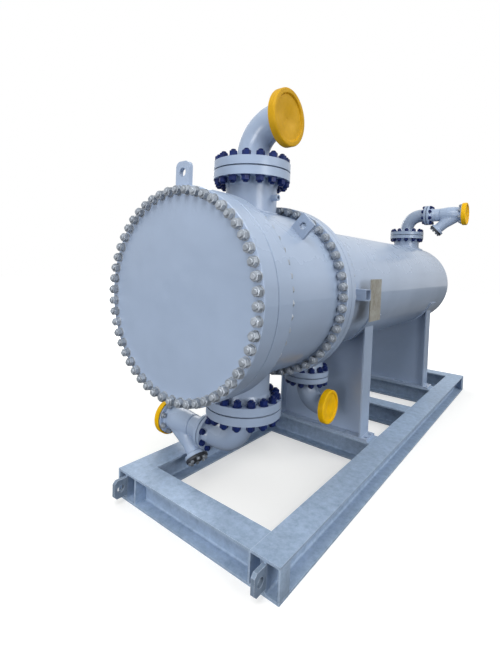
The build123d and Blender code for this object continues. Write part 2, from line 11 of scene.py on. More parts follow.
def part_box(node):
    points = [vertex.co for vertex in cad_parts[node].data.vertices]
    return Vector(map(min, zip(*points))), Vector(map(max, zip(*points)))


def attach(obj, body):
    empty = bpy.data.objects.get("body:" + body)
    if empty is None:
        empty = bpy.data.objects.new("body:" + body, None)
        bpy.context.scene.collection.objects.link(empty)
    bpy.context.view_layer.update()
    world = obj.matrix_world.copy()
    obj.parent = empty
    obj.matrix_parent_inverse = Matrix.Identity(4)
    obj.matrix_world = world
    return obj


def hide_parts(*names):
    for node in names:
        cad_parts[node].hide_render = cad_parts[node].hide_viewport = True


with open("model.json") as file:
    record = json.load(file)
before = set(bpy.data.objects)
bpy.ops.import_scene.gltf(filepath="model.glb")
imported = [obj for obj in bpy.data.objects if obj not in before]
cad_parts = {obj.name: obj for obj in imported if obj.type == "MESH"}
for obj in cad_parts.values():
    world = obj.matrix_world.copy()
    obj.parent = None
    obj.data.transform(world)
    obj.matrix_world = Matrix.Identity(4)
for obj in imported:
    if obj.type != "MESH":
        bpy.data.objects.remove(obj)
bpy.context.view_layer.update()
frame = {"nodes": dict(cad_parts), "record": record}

bl_info = {
    "name": "Shell and Tube Heat Exchanger",
    "version": (1, 0, 0),
    "blender": (4, 5, 0),
    "location": "View3D > Sidebar > Exchanger",
    "description": "Dresses the packed exchanger with its studs, welds, castings, caps and finishes",
    "category": "Object",
}

COVER_LOW, COVER_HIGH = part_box("channel_cover")
FRONT_FLANGE_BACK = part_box("channel_front_flange")[1].y
REAR_FLANGE_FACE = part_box("channel_rear_flange")[0].y
TUBESHEET_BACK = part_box("tubesheet")[1].y
AXIS_HEIGHT = (COVER_LOW.z + COVER_HIGH.z) / 2
RIGHT = Vector((1, 0, 0))
LEFT = Vector((-1, 0, 0))
FRONT = Vector((0, -1, 0))
REAR = Vector((0, 1, 0))
UP = Vector((0, 0, 1))
DOWN = Vector((0, 0, -1))
IN_PLACE = Matrix.Identity(4)
SHINE = {"metallic": "Metallic", "specular": "Specular IOR Level", "roughness": "Roughness"}
# Pieces whose finish isn't the usual one of their slot: the tie lugs get a darker copy of the zinc and the
# strainer covers a near-black finish, both painted shade
OWN_FINISH = {"tie_lugs": "shaded_zinc", "strainer_covers": "shaded_cover"}

# Steps round turned shapes, along arcs and down a dish, and the angle that stays a sharp edge
NUT_STEPS = 24
PIPE_STEPS = 48
CAP_STEPS = 72
BEAD_STEPS = 8
ARC_STEPS = 6
DISH_STEPS = 10
SHARP = radians(32)

# A heavy hex nut and its stud, as shares of the width across the nut's flats
NUT_HEIGHT = 0.62
NUT_CROWN = 0.475
STUD_RADIUS = 0.33
STUD_REACH = 0.2
THREAD_PITCH = 0.075
WASHER_RADIUS = 0.64
WASHER_HEIGHT = 0.09
CHAMFER_SLOPE = 0.55

# Bolt circles inside their flange's rim, as shares of the width across the nut's flats
NOZZLE_INSET = 0.66
PIPE_INSET = 0.54
LEG_INSET = 0.95

# Unevenness of a weld bead as shares of its radius, and the turn of its ripple from point to point
BEAD_RIPPLE = 0.12
BEAD_UNEVEN = 0.08
RIPPLE_TURN = 2.1

# Mesh size and smoothing passes of a casting
VOXEL = 0.006
RELAXING = 14

# Flare of a strainer's leg over its plain radius, and the distance from the fork
LEG_FLARE = ((0.018, 0.0), (0.012, 0.09), (0.003, 0.18))


def maker(kind, **fixed):
    """Makes a short way to write properties of one kind."""
    def make(name, description, default):
        return kind(name=name, description=description, default=default, **fixed)
    return make


length = maker(FloatProperty, unit="LENGTH", precision=4)
angle = maker(FloatProperty, subtype="ANGLE")
watts = maker(FloatProperty, unit="POWER")
focus = maker(FloatProperty, unit="CAMERA")
share = maker(FloatProperty, subtype="FACTOR", min=0.0, max=1.0)
count = maker(IntProperty, min=3)
colour = maker(FloatVectorProperty, size=3, subtype="COLOR", min=0.0, max=1.0)
spot = maker(FloatVectorProperty, size=3, subtype="TRANSLATION")
turns = maker(FloatVectorProperty, size=3, subtype="EULER")


class StudSizes(bpy.types.PropertyGroup):
    """Sizes of the studs, nuts and washers"""

    girth_count: count("Girth studs", "Studs round the channel cover and the tubesheet", 52)
    girth_circle: length("Girth bolt circle", "Diameter of the girth bolt circle", 1.2)
    girth_flats: length("Girth nut", "Width of a girth nut across its flats", 0.047)
    girth_back_flats: length("Girth back nut", "Width of a nut behind a girth flange across its flats", 0.04)
    channel_count: count("Channel nozzle studs", "Studs in a channel nozzle flange", 16)
    channel_flats: length("Channel nozzle nut", "Width of a channel nozzle nut across its flats", 0.05)
    channel_flange: length("Channel nozzle flange", "Thickness of a channel nozzle flange", 0.058)
    channel_turn: angle("Channel stud turn", "Turn of the channel nozzle bolt circles", radians(-5))
    shell_count: count("Shell nozzle studs", "Studs in a shell nozzle flange", 12)
    shell_flats: length("Shell nozzle nut", "Width of a shell nozzle nut across its flats", 0.046)
    shell_flange: length("Shell nozzle flange", "Thickness of a shell nozzle flange", 0.044)
    shell_turn: angle("Shell stud turn", "Turn of the shell nozzle bolt circles", 0.0)
    pipe_count: count("Pipe studs", "Studs in a pipe flange", 8)
    pipe_flats: length("Pipe nut", "Width of a pipe nut across its flats", 0.036)
    pipe_flange: length("Pipe flange", "Thickness of a pipe flange", 0.03)
    pipe_gasket: length("Pipe gasket", "Thickness of a gasket between pipe flanges", 0.003)
    leg_flats: length("Strainer cover bolt", "Width of a strainer cover bolt across its flats", 0.022)


class StrainerSizes(bpy.types.PropertyGroup):
    """Sizes of the cast Y strainers"""

    length: length("Length", "Length over the two pipe flanges", 0.44)
    channel_fork: length("Channel fork", "Distance of the channel strainer's fork along its run", 0.276)
    shell_fork: length("Shell fork", "Distance of the shell strainer's fork along its run", 0.33)
    flange_radius: length("Pipe flange radius", "Radius of a pipe flange", 0.129)
    face_radius: length("Raised face radius", "Radius of a raised pipe face", 0.1065)
    flange: length("Pipe flange", "Thickness of a pipe flange", 0.03)
    hub_radius: length("Hub radius", "Radius of the hub at its flange", 0.097)
    barrel_radius: length("Barrel radius", "Radius of the plain barrel", 0.083)
    barrel_end: length("Barrel end", "Distance of the seam between barrel and body", 0.154)
    belly_radius: length("Belly radius", "Radius of the body where it is widest", 0.098)
    leg_length: length("Leg length", "Length of the leg from the fork to its flange face", 0.296)
    leg_radius: length("Leg radius", "Radius of the leg", 0.063)
    leg_flange_radius: length("Leg flange radius", "Radius of the leg flange and its cover", 0.086)
    leg_flange: length("Leg flange", "Thickness of the leg flange", 0.026)
    leg_cover: length("Leg cover", "Thickness of the leg's blank cover", 0.024)
    leg_angle: angle("Leg angle", "Angle between the leg and the run", radians(45))
    leg_tilt: angle("Leg tilt", "Tilt of the leg towards the front", radians(12))
    ease: length("Eased edge", "Rounding of machined edges", 0.003)


class CapSizes(bpy.types.PropertyGroup):
    """Sizes of the moulded flange caps"""

    wall: length("Wall", "Thickness of the skirt", 0.005)
    skirt: length("Skirt", "Reach of the skirt over the flange", 0.022)
    rim: length("Rim", "Height of the rim before the flange face", 0.03)
    lip: share("Lip", "Width of the flat of the rim as a share of the radius", 0.19)
    recess: length("Recess", "Step from the rim down to the dish", 0.012)
    dish: length("Dish", "Depth of the dish below the step", 0.016)
    dimple: length("Dimple", "Radius of the gate dimple at the centre", 0.008)


class WeldSizes(bpy.types.PropertyGroup):
    """Sizes of the weld beads"""

    neck: length("Neck bead", "Radius of the beads round the nozzle necks", 0.010)
    girth: length("Girth bead", "Radius of the beads round the barrel and shell", 0.009)
    pad: length("Pad bead", "Radius of the beads round the nozzle pads", 0.006)
    pass_length: length("Pass length", "Distance between the ripples of a bead", 0.012)
    channel_neck: length("Channel neck", "Radius of a channel nozzle's neck", 0.178)
    shell_bottom_neck: length("Shell bottom neck", "Radius of the shell bottom nozzle's neck", 0.1365)
    shell_top_neck: length("Shell top neck", "Radius of the shell top nozzle's neck", 0.162)
    pad_width: length("Pad width", "Width of a shell nozzle pad round its neck", 0.05)


class PlateSizes(bpy.types.PropertyGroup):
    """Sizes of the skid's corner plates"""

    beam_flange: length("Beam flange", "Thickness of a side beam's flange", 0.015)
    beam_web: length("Beam web", "Thickness of a side beam's web", 0.01)
    thickness: length("Corner plate", "Thickness of a corner plate", 0.012)
    reach: length("Corner plate reach", "Length of a corner plate along its beam", 0.095)
    ease: length("Eased edge", "Rounding of the plates' edges", 0.002)


class Finishes(bpy.types.PropertyGroup):
    """Colours of the paint, zinc, plastic and coatings"""

    paint: colour("Vessel paint", "Main colour of the vessel paint", (0.35, 0.43, 0.575))
    paint_deep: colour("Vessel paint, deep", "Darker tone of the vessel paint", (0.32, 0.395, 0.53))
    paint_dust: colour("Paint dust", "Dust on faces that look up", (0.46, 0.53, 0.65))
    zinc: colour("Zinc", "Main colour of hot dip zinc", (0.25, 0.335, 0.46))
    zinc_pale: colour("Pale zinc", "Pale blooms in hot dip zinc", (0.44, 0.55, 0.72))
    zinc_dark: colour("Dark zinc", "Dark stains in hot dip zinc", (0.17, 0.22, 0.29))
    # Painted highlight: pale zinc laid along the edges as if they caught the light
    zinc_edge_highlight: colour("Zinc edge", "Pale zinc along proud edges", (0.62, 0.70, 0.82))
    nut_zinc: colour("Nut zinc", "Zinc of the girth nuts and studs", (0.44, 0.48, 0.54))
    nut_dark: colour("Nut zinc, dark", "Darker tone of the girth nuts", (0.20, 0.225, 0.26))
    coating: colour("Stud coating", "Blue coating of the nozzle studs", (0.003, 0.012, 0.080))
    # Painted shade: a near-black colour for the leg covers, whose faces look down into shade
    cover: colour("Strainer cover", "Dark steel of the strainers' leg covers", (0.030, 0.034, 0.042))
    cap_yellow: colour("Cap yellow", "Plastic of the flange caps", (1.0, 0.56, 0.0))
    # A darker ochre copy of the cap plastic, given to the uppermost cap
    cap_ochre: colour("Cap ochre", "Faded plastic of the uppermost cap", (0.66, 0.36, 0.004))
    gasket: colour("Gasket", "Gaskets between the flanges", (0.012, 0.012, 0.014))
    plate: colour("Bare plate", "Weathered plate on the bracket", (0.37, 0.37, 0.345))
    plate_stain: colour("Plate stain", "Stains on the weathered plate", (0.21, 0.19, 0.15))


class StageSettings(bpy.types.PropertyGroup):
    """Floor, light and camera"""

    floor: share("Floor grey", "Grey of the floor as it lights the object", 0.06)
    floor_seen: colour("Floor", "Colour of the floor as the camera sees it", (0.73, 0.71, 0.69))
    sky: share("Sky", "Strength of the soft light from above", 0.66)
    sky_low: colour("Low sky", "Colour of the soft light from the sides", (0.09, 0.10, 0.13))
    sky_high: colour("High sky", "Colour of the soft light from overhead", (0.93, 1.0, 1.0))
    key: watts("Key light", "Power of the large soft lamp in front", 270.0)
    side: watts("Side light", "Power of the soft lamp high at the right", 190.0)
    right: watts("Right light", "Power of the soft lamp at eye level at the right", 125.0)
    back: watts("Back light", "Power of the soft lamp behind at the left", 150.0)
    low: watts("Low light", "Power of the soft lamp low in front", 190.0)
    lens: focus("Lens", "Focal length of the camera", 21.03)
    camera: spot("Camera", "Place of the camera", (1.706, -3.336, 1.704))
    turn: turns("Turn", "Yaw, pitch and roll of the camera", (0.671, -0.036, 0.037))


# Shapes are pairs of points and faces, put together into one mesh a piece

def band(low, high, steps):
    """Faces between two rings, each given by the number of its first point."""
    return [(low + k, low + (k + 1) % steps, high + (k + 1) % steps, high + k) for k in range(steps)]


def lathe(profile, steps):
    """A shape turned about the local z axis from (radius, height) points; radius 0 closes an end."""
    points, faces, rings = [], [], []
    for radius, height in profile:
        rings.append((len(points), radius > 0))
        turns = [tau * k / steps for k in range(steps)] if radius else [0.0]
        points += [Vector((radius * cos(turn), radius * sin(turn), height)) for turn in turns]
    for (low, low_open), (high, high_open) in zip(rings, rings[1:]):
        if low_open and high_open:
            faces += band(low, high, steps)
        elif high_open:
            faces += [(low, high + (k + 1) % steps, high + k) for k in range(steps)]
        else:
            faces += [(low + k, low + (k + 1) % steps, high) for k in range(steps)]
    return points, faces


def add_shape(points, faces, shape, flip=False):
    """Adds a shape to growing points and faces, and gives the number of its first point."""
    shift = len(points)
    points += shape[0]
    for face in shape[1]:
        moved = tuple(i + shift for i in face)
        faces.append(moved[::-1] if flip else moved)
    return shift


def nut_and_stud(flats, stud_reach=STUD_REACH):
    """A heavy hex nut on its washer with the threaded stud end through it, standing on local z = 0."""
    height, crown, stud = NUT_HEIGHT * flats, NUT_CROWN * flats, STUD_RADIUS * flats
    base = WASHER_HEIGHT * flats
    top = base + height
    points, steps = [], NUT_STEPS
    for lift in (0, 1):
        for k in range(steps):
            turn = tau * k / steps
            r = flats / 2 / cos(turn % (pi / 3) - pi / 6)
            drop = CHAMFER_SLOPE * (r - crown)
            points.append(Vector((r * cos(turn), r * sin(turn), base + drop + lift * (height - 2 * drop))))
    faces = band(0, steps, steps)
    crown_ring = add_shape(points, faces, lathe(stud_end(flats, crown, stud, top, stud_reach), steps))
    faces += band(steps, crown_ring, steps)
    under = add_shape(points, faces, lathe([(0, base), (crown, base)], steps), flip=True) + 1
    faces += [(under + (k + 1) % steps, (k + 1) % steps, k, under + k) for k in range(steps)]
    rim, ease = WASHER_RADIUS * flats, 0.3 * base
    washer = [(0, 0), (rim, 0), (rim, base - ease), (rim - ease, base), (0, base)]
    add_shape(points, faces, lathe(washer, steps))
    return points, faces


def stud_end(flats, crown, stud, top, reach):
    """Profile of a nut's top face and of the threads of the stud that comes through it."""
    pitch = THREAD_PITCH * flats
    threads = int(reach * flats / pitch)
    mouth, start, root, tip = 1.06 * stud, 0.96 * stud, 0.92 * stud, 0.80 * stud
    profile = [(crown, top), (mouth, top), (start, top)]
    for k in range(threads):
        profile += [(stud, top + pitch * (k + 0.3)), (root, top + pitch * (k + 0.8))]
    end = top + pitch * threads
    return profile + [(stud, end + 0.2 * pitch), (tip, end + pitch), (0, end + pitch)]


def bead(line, radius, seed):
    """A weld bead along a closed line of points, with the ripple of its passes."""
    draw = random.Random(seed)
    points, faces = [], []
    total = len(line)
    for i, place in enumerate(line):
        following = (i + 1) % total
        along = (line[following] - line[i - 1]).normalized()
        side = along.cross(UP)
        side = side.normalized() if side.length > 1e-4 else along.cross(RIGHT).normalized()
        lift = side.cross(along)
        r = radius * (1.0 + BEAD_RIPPLE * sin(RIPPLE_TURN * i) + draw.uniform(-BEAD_UNEVEN, BEAD_UNEVEN))
        for k in range(BEAD_STEPS):
            turn = tau * k / BEAD_STEPS
            points.append(place + side * (r * cos(turn)) + lift * (r * sin(turn)))
        faces += band(i * BEAD_STEPS, following * BEAD_STEPS, BEAD_STEPS)
    return points, faces


def plate(corner, opposite, ease):
    """A plate between two corners with all its edges eased."""
    low = Vector(map(min, corner, opposite))
    high = Vector(map(max, corner, opposite))
    form = bmesh.new()
    bmesh.ops.create_cube(form, size=1.0)
    bmesh.ops.scale(form, vec=high - low, verts=form.verts)
    bmesh.ops.translate(form, vec=(low + high) / 2, verts=form.verts)
    bmesh.ops.bevel(form, geom=form.edges[:], offset=ease, segments=2, profile=0.5, affect="EDGES")
    form.verts.index_update()
    shape = [v.co.copy() for v in form.verts], [tuple(v.index for v in f.verts) for f in form.faces]
    form.free()
    return shape


def quarter(radius, height, size, start):
    """Points of a quarter round about a centre in a profile, from a start angle."""
    turns = [start + pi / 2 * k / ARC_STEPS for k in range(ARC_STEPS + 1)]
    return [(radius + size * cos(turn), height + size * sin(turn)) for turn in turns]


def facing(place, direction, spin=0.0):
    """The matrix that stands a shape's local z along a direction, at a place."""
    turn = Vector(direction).to_track_quat("Z", "Y").to_matrix().to_4x4()
    return Matrix.Translation(place) @ turn @ Matrix.Rotation(spin, 4, "Z")


def circle_places(centre, direction, radius, total, start=0.0):
    """Places round a bolt circle about a direction."""
    turn = Vector(direction).to_track_quat("Z", "Y").to_matrix()
    for k in range(total):
        a = start + tau * k / total
        yield Vector(centre) + turn @ Vector((radius * cos(a), radius * sin(a), 0))


def assemble_mesh(name, placed):
    """One mesh from placed shapes."""
    points, faces = [], []
    for (shape_points, shape_faces), matrix in placed:
        add_shape(points, faces, ([matrix @ p for p in shape_points], shape_faces))
    mesh = bpy.data.meshes.new(name)
    mesh.from_pydata(points, [], faces)
    mesh.validate()
    return mesh


def assemble(name, placed, material, replaced=()):
    """One piece from placed shapes, smooth with sharp edges, riding on the exchanger."""
    mesh = assemble_mesh(name, placed)
    mesh.shade_smooth()
    mesh.set_sharp_from_angle(angle=SHARP)
    mesh.materials.append(material)
    piece = bpy.data.objects.new(name, mesh)
    bpy.context.scene.collection.objects.link(piece)
    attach(piece, "root")
    if replaced:
        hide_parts(*replaced)


def cast_together(placed, voxel, passes):
    """One smooth casting from overlapping shapes, remeshed and relaxed."""
    rough = assemble_mesh("rough_casting", placed)
    piece = bpy.data.objects.new("rough_casting", rough)
    bpy.context.scene.collection.objects.link(piece)
    remesh = piece.modifiers.new("remesh", "REMESH")
    remesh.mode = "VOXEL"
    remesh.voxel_size = voxel
    relax = piece.modifiers.new("relax", "SMOOTH")
    relax.factor = 0.5
    relax.iterations = passes
    done = bpy.data.meshes.new_from_object(piece.evaluated_get(bpy.context.evaluated_depsgraph_get()))
    shape = [v.co.copy() for v in done.vertices], [tuple(f.vertices) for f in done.polygons]
    bpy.data.objects.remove(piece)
    bpy.data.meshes.remove(rough)
    bpy.data.meshes.remove(done)
    return shape


# Node groups and materials

def start_group(name, **inputs):
    """A new shader node group with its value inputs."""
    tree = bpy.data.node_groups.new(name, "ShaderNodeTree")
    for label, default in inputs.items():
        socket = tree.interface.new_socket(label, in_out="INPUT", socket_type="NodeSocketFloat")
        socket.default_value = default
    return tree, tree.nodes.new("NodeGroupInput").outputs


def end_group(tree, **outputs):
    """Gives a node group its value outputs."""
    for label in outputs:
        tree.interface.new_socket(label, in_out="OUTPUT", socket_type="NodeSocketFloat")
    out = tree.nodes.new("NodeGroupOutput")
    for label, value in outputs.items():
        tree.links.new(value, out.inputs[label])


def add_node(tree, kind, inputs, **settings):
    """Outputs of a new shader node, each of its inputs linked to a socket or given a value."""
    node = tree.nodes.new("ShaderNode" + kind)
    for label, value in settings.items():
        setattr(node, label, value)
    for label, value in inputs.items():
        if isinstance(value, bpy.types.NodeSocket):
            tree.links.new(value, node.inputs[label])
        else:
            node.inputs[label].default_value = value
    return node.outputs


def add_noise(tree, where, scale, detail=3.0, rough=0.55):
    inputs = {"Vector": where, "Scale": scale, "Detail": detail, "Roughness": rough}
    return add_node(tree, "TexNoise", inputs)["Fac"]


def add_range(tree, value, low, high, to_low=0.0, to_high=1.0):
    inputs = {"Value": value, "From Min": low, "From Max": high, "To Min": to_low, "To Max": to_high}
    return add_node(tree, "MapRange", inputs)["Result"]


def add_math(tree, operation, *values):
    return add_node(tree, "Math", dict(enumerate(values)), operation=operation)["Value"]


def object_coordinates(tree):
    return add_node(tree, "TexCoord", {})["Object"]


def geometry(tree, output):
    return add_node(tree, "NewGeometry", {})[output]


def paint_film_group():
    """Slow drift of tone, dust where a face looks up, and the fine peel and long roll of sprayed paint."""
    tree, given = start_group("paint_film", Scale=160.0)
    where = object_coordinates(tree)
    drift = add_noise(tree, where, 2.0, detail=4.0)
    facing_up = add_node(tree, "SeparateXYZ", {"Vector": geometry(tree, "Normal")})["Z"]
    upward = add_range(tree, facing_up, 0.1, 1.0)
    speck = add_range(tree, add_noise(tree, where, 5.0, rough=0.5), 0.3, 0.7)
    stretched = add_node(tree, "Mapping", {"Vector": where, "Scale": (3.4, 0.35, 3.4)})["Vector"]
    end_group(
        tree,
        Tone=add_range(tree, drift, 0.34, 0.66),
        Dust=add_math(tree, "MULTIPLY", upward, speck),
        Peel=add_noise(tree, where, given["Scale"], detail=2.0),
        Roll=add_noise(tree, stretched, 1.9, detail=1.0, rough=0.4),
    )


def edge_highlight_group():
    """Painted highlight: a mask along the edges of the zinc, where they are made pale as if they caught the
    light.
    """
    tree, given = start_group("painted_edge_highlight", Width=0.006)
    eased = add_node(tree, "Bevel", {"Radius": given["Width"]}, samples=4)["Normal"]
    turn = add_node(tree, "VectorMath", {0: eased, 1: geometry(tree, "Normal")}, operation="DOT_PRODUCT")
    end_group(tree, Edge=add_range(tree, turn["Value"], 0.99, 0.80))


def zinc_group():
    """Blooms, stains, crystal facets and fine relief of hot dip zinc."""
    tree, given = start_group("zinc_bloom", Scale=20.0)
    where = object_coordinates(tree)
    bloom = add_noise(tree, where, given["Scale"], detail=8.0, rough=0.72)
    stain = add_noise(tree, where, 3.2, detail=6.0, rough=0.62)
    fine = add_math(tree, "MULTIPLY", given["Scale"], 5.0)
    cells = add_node(tree, "TexVoronoi", {"Vector": where, "Scale": fine})["Color"]
    end_group(
        tree,
        Bloom=add_range(tree, bloom, 0.33, 0.71),
        Stain=add_range(tree, stain, 0.48, 0.76),
        Facet=add_node(tree, "SeparateColor", {"Color": cells})["Red"],
        Relief=add_noise(tree, where, 60.0),
    )


def grain_group():
    """The fine pits and speckle of a cast, moulded or weathered face."""
    tree, given = start_group("fine_grain", Scale=120.0)
    where = object_coordinates(tree)
    coarse = add_math(tree, "MULTIPLY", given["Scale"], 0.12)
    speckle = add_noise(tree, where, coarse, detail=5.0, rough=0.6)
    end_group(
        tree,
        Speckle=add_range(tree, speckle, 0.35, 0.68),
        Grain=add_noise(tree, where, given["Scale"], detail=4.0, rough=0.6),
    )


class Finish:
    """A material in the making."""

    def __init__(self, name, **shine):
        material = bpy.data.materials.new(name + "_finish")
        material.use_nodes = True
        self.tree = material.node_tree
        self.shader = self.tree.nodes["Principled BSDF"].inputs
        for label, value in shine.items():
            self.shader[SHINE[label]].default_value = value

    def place(self, group, **values):
        return add_node(self.tree, "Group", values, node_tree=bpy.data.node_groups[group])

    def faint(self, mask, most):
        return add_range(self.tree, mask, 0.0, 1.0, 0.0, most)

    def blend(self, mask, first, second):
        inputs = {"Factor": mask}
        for place, value in ((6, first), (7, second)):
            inputs[place] = value if isinstance(value, bpy.types.NodeSocket) else (*value, 1.0)
        return add_node(self.tree, "Mix", inputs, data_type="RGBA")[2]

    def colour(self, value):
        self.tree.links.new(value, self.shader["Base Color"])

    def roughness(self, mask, low, high):
        self.tree.links.new(add_range(self.tree, mask, 0.0, 1.0, low, high), self.shader["Roughness"])

    def relief(self, height, strength, distance):
        inputs = {"Height": height, "Strength": strength, "Distance": distance}
        self.tree.links.new(add_node(self.tree, "Bump", inputs)["Normal"], self.shader["Normal"])


def shade(tone, times, plus=0.0):
    return tuple(times * c + plus for c in tone)


def paint_finish(finishes, name, peel_scale, peel, roll, lift):
    """Sprayed paint whose tone drifts, with dust on top and a skin that rolls or is pitted."""
    paint = Finish(name, specular=0.55)
    film = paint.place("paint_film", Scale=peel_scale)
    tone = paint.blend(film["Tone"], shade(finishes.paint, lift), shade(finishes.paint_deep, lift))
    paint.colour(paint.blend(paint.faint(film["Dust"], 0.35), tone, finishes.paint_dust))
    paint.roughness(film["Dust"], low=0.26, high=0.32)
    pits = add_math(paint.tree, "MULTIPLY", film["Peel"], peel)
    waves = add_math(paint.tree, "MULTIPLY", film["Roll"], roll)
    paint.relief(add_math(paint.tree, "ADD", pits, waves), strength=0.6, distance=0.010)


def zinc_finish(finishes, name, times):
    """Hot dip zinc with blooms, stains and facets, and a painted highlight along its edges."""
    zinc = Finish(name, metallic=0.15, specular=0.3)
    bloom = zinc.place("zinc_bloom")
    pale = shade(finishes.zinc_pale, times)
    tone = zinc.blend(bloom["Bloom"], shade(finishes.zinc, times), pale)
    tone = zinc.blend(zinc.faint(bloom["Stain"], 0.34), tone, shade(finishes.zinc_dark, times))
    tone = zinc.blend(zinc.faint(bloom["Facet"], 0.25), tone, pale)
    # Painted highlight: the bevel mask lightens the zinc along its edges
    edge = zinc.faint(zinc.place("painted_edge_highlight")["Edge"], 0.6)
    zinc.colour(zinc.blend(edge, tone, finishes.zinc_edge_highlight))
    zinc.roughness(bloom["Facet"], low=0.38, high=0.58)
    zinc.relief(bloom["Relief"], strength=0.18, distance=0.0012)


def nut_finish(finishes):
    """Zinc of the girth nuts, with a tone of its own for each nut."""
    nut = Finish("nut_zinc", metallic=0.3)
    grain = nut.place("fine_grain", Scale=220.0)
    each = nut.faint(geometry(nut.tree, "Random Per Island"), 0.65)
    tone = add_math(nut.tree, "MULTIPLY_ADD", grain["Speckle"], 0.35, each)
    nut.colour(nut.blend(tone, finishes.nut_zinc, finishes.nut_dark))
    nut.roughness(grain["Speckle"], low=0.36, high=0.52)
    nut.relief(grain["Grain"], strength=0.08, distance=0.0004)


def grained_finish(name, scale, first, second, grain, rough=None, **shine):
    """Steel, coating, plastic or gasket with a fine speckle of two colours and a grain in relief."""
    made = Finish(name, **shine)
    fine = made.place("fine_grain", Scale=scale)
    made.colour(made.blend(fine["Speckle"], first, second))
    made.relief(fine["Grain"], *grain)
    if rough:
        made.roughness(fine["Speckle"], *rough)


def plate_finish(finishes):
    """Weathered bare plate."""
    bare = Finish("bare_plate", metallic=0.2)
    bloom = bare.place("zinc_bloom", Scale=9.0)
    bare.colour(bare.blend(bloom["Bloom"], finishes.plate, finishes.plate_stain))
    bare.roughness(bloom["Facet"], low=0.5, high=0.72)
    bare.relief(bloom["Relief"], strength=0.25, distance=0.0008)


def make_finishes(finishes):
    """Builds the node groups once and every material of the exchanger."""
    paint_film_group()
    zinc_group()
    grain_group()
    edge_highlight_group()
    paint_finish(finishes, "vessel_paint", peel_scale=150.0, peel=0.001, roll=1.0, lift=1.0)
    paint_finish(finishes, "cast_paint", peel_scale=70.0, peel=0.015, roll=0.0, lift=1.2)
    zinc_finish(finishes, "galvanised_steel", times=1.0)
    # Painted shade: a copy of the zinc at 0.58 of its brightness for the tie lugs, which sit in shade
    zinc_finish(finishes, "shaded_zinc", times=0.58)
    nut_finish(finishes)
    plate_finish(finishes)
    # Painted shade: the strainer covers' near-black finish stands in for the shade their downward faces sit
    # in
    cover_shade, blue, black = finishes.cover, finishes.coating, finishes.gasket
    grained_finish("shaded_cover", 110.0, cover_shade, shade(cover_shade, 1.8), (0.2, 0.0006), (0.38, 0.55), metallic=0.3)
    pale = shade(blue, 1.6, plus=0.003)
    grained_finish("stud_coating", 200.0, blue, pale, (0.15, 0.0004), (0.30, 0.48), specular=0.25)
    # The uppermost cap gets a darker ochre copy of the cap plastic
    for name, yellow in (("yellow_plastic", finishes.cap_yellow), ("ochre_plastic", finishes.cap_ochre)):
        faded = shade(yellow, 0.82)
        grained_finish(name, 90.0, yellow, faded, (0.12, 0.0006), (0.42, 0.58), specular=0.22)
    grained_finish("gasket", 200.0, black, shade(black, 2), (0.3, 0.0005), roughness=0.8)


def finish(name):
    return bpy.data.materials[name + "_finish"]


# Places read from the frame

def half_width(node):
    low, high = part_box(node)
    return (high.x - low.x) / 2


def nozzle_place(node):
    """Y of a nozzle's centre line, its flange radius, and its lowest and highest z."""
    low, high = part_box(node)
    return (low.y + high.y) / 2, (high.y - low.y) / 2, low.z, high.z


def strainer_lines(name, sizes):
    """Start, run, fork and leg direction of a strainer, from its boxes."""
    low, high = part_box(name + "_strainer")
    cap_low, cap_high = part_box("channel_bottom_protector" if name == "channel" else "shell_top_protector")
    run = LEFT if name == "channel" else RIGHT
    start = Vector((high.x if name == "channel" else low.x, *((cap_low + cap_high) / 2).yz))
    hang = DOWN * cos(sizes.leg_tilt) + FRONT * sin(sizes.leg_tilt)
    leg = hang * sin(sizes.leg_angle) - run * cos(sizes.leg_angle)
    fork = start + run * (sizes.channel_fork if name == "channel" else sizes.shell_fork)
    return start, run, fork, leg


# Operators

class EXCHANGER_OT_finish_metalwork(bpy.types.Operator):
    """Give every CAD piece the finish of its material slot"""

    bl_idname = "exchanger.finish_metalwork"
    bl_label = "Finish the metalwork"

    def execute(self, context):
        make_finishes(context.scene.exchanger_finishes)
        for row in frame["record"]["subparts"]:
            node = frame["nodes"][row["node"]]
            node.data.materials.clear()
            node.data.materials.append(finish(OWN_FINISH.get(row["node"], row["material_slot"])))
        return {"FINISHED"}


class EXCHANGER_OT_fit_girth_studs(bpy.types.Operator):
    """Nuts, washers and stud ends of the channel cover and of the tubesheet"""

    bl_idname = "exchanger.fit_girth_studs"
    bl_label = "Fit the girth studs"

    def execute(self, context):
        sizes = context.scene.exchanger_studs
        draw = random.Random(52)
        seen, behind = nut_and_stud(sizes.girth_flats), nut_and_stud(sizes.girth_back_flats)
        for name, y, outward, nut in (
            ("cover_nuts", COVER_LOW.y, FRONT, seen),
            ("front_flange_nuts", FRONT_FLANGE_BACK, REAR, behind),
            ("rear_flange_nuts", REAR_FLANGE_FACE, FRONT, seen),
            ("tubesheet_nuts", TUBESHEET_BACK, REAR, behind),
        ):
            centre = (0, y, AXIS_HEIGHT)
            places = circle_places(centre, outward, sizes.girth_circle / 2, sizes.girth_count)
            placed = [(nut, facing(p, outward, draw.uniform(0, tau))) for p in places]
            assemble(name, placed, finish("nut_zinc"))
        return {"FINISHED"}


